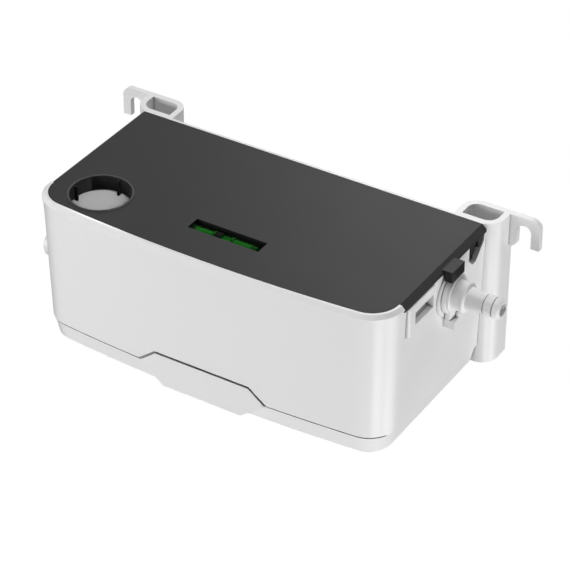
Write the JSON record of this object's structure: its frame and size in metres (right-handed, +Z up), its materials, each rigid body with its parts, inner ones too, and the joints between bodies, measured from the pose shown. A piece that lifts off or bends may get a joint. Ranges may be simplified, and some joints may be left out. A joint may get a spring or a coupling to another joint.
{
  "type": "condensate pump",
  "caption": "Wall-hung tank pump that collects condensate through its lid and lifts it out through a twist-lock check valve and hose barb.",
  "frame": {"origin": "middle of the tank's flat underside", "axes": "+X along the tank towards the discharge barb, +Y from the front face to the wall, +Z up"},
  "size_m": [0.2239, 0.1056, 0.0745],
  "materials": {
    "white_shell": "fine satin",
    "white_fitting": "fine satin",
    "black_cover": "fine matt texture",
    "clear_vial": "clear",
    "green_fluid": "clear liquid",
    "dark_plug": "matt",
    "grey_carrier": "moulded",
    "pump_plastic": "moulded",
    "impeller_plastic": "moulded",
    "steel": "ground",
    "zinc_screw": "zinc plated",
    "spring_steel": "drawn",
    "motor_shell": "satin",
    "lamination": "stacked sheet",
    "copper_winding": "enamelled wire",
    "magnet": "sintered",
    "rubber": "matt",
    "hose_rubber": "matt",
    "board_laminate": "solder mask",
    "capacitor_sleeve": "shrink sleeve",
    "relay_case": "moulded",
    "terminal_plastic": "moulded",
    "sink_aluminium": "extruded",
    "float_foam": "closed cell",
    "reed_glass": "clear"
  },
  "bodies": {
    "tank": {"tank_housing": "white_shell", "pump_carrier": "grey_carrier", "carrier_screws": "zinc_screw", "pump_volute": "pump_plastic", "volute_cover": "pump_plastic", "volute_screws": "zinc_screw", "inlet_strainer": "grey_carrier", "shaft_seal": "rubber", "motor_base": "motor_shell", "motor_can": "motor_shell", "shaft_bearings": "steel", "stator_core": "lamination", "stator_coils": "copper_winding", "motor_bushes": "rubber", "motor_bolts": "zinc_screw", "riser_hose": "hose_rubber", "hose_clamps": "spring_steel", "port_elbow": "grey_carrier", "port_gasket": "rubber", "control_board": "board_laminate", "board_screws": "zinc_screw", "board_capacitor": "capacitor_sleeve", "board_relay": "relay_case", "board_terminal_block": "terminal_plastic", "board_heat_sink": "sink_aluminium", "float_guide": "grey_carrier", "float_guide_nut": "grey_carrier", "float_stop_clip": "steel", "reed_switch": "reed_glass"},
    "cover": {"top_cover": "black_cover", "level_vial_tube": "clear_vial", "level_vial_fluid": "green_fluid", "level_vial_plugs": "dark_plug", "level_vial_rings": "dark_plug"},
    "rotor": {"impeller": "impeller_plastic", "motor_shaft": "steel", "rotor_magnet": "magnet", "cooling_fan": "pump_plastic"},
    "check_valve": {"check_valve_body": "white_fitting", "barb_nozzle": "white_fitting", "valve_o_ring": "rubber", "check_valve_spring": "spring_steel"},
    "poppet": {"check_valve_poppet": "impeller_plastic", "poppet_seal": "rubber"},
    "float": {"float_ring": "float_foam", "float_magnet": "magnet"}
  },
  "joints": [
    {"name": "cover_lift", "type": "slide", "parent": "tank", "child": "cover", "axis": [0, 0, 1], "range_m": [0, 0.04]},
    {"name": "rotor_spin", "type": "hinge", "parent": "tank", "child": "rotor", "pos_m": [0.045, -0.0014, 0.04], "axis": [0, 0, 1], "continuous": true},
    {"name": "float_rise", "type": "slide", "parent": "tank", "child": "float", "axis": [0, 0, 1], "range_m": [0, 0.014]},
    {"name": "valve_twist", "type": "hinge", "parent": "tank", "child": "check_valve", "pos_m": [0.092, 0.0126, 0.0577], "axis": [1, 0, 0], "range_deg": [-40, 0]},
    {"name": "poppet_travel", "type": "slide", "parent": "check_valve", "child": "poppet", "axis": [1, 0, 0], "range_m": [0, 0.0015], "stiffness_N_per_m": 40, "springref_m": -0.001, "deforming": ["check_valve_spring"]}
  ]
}
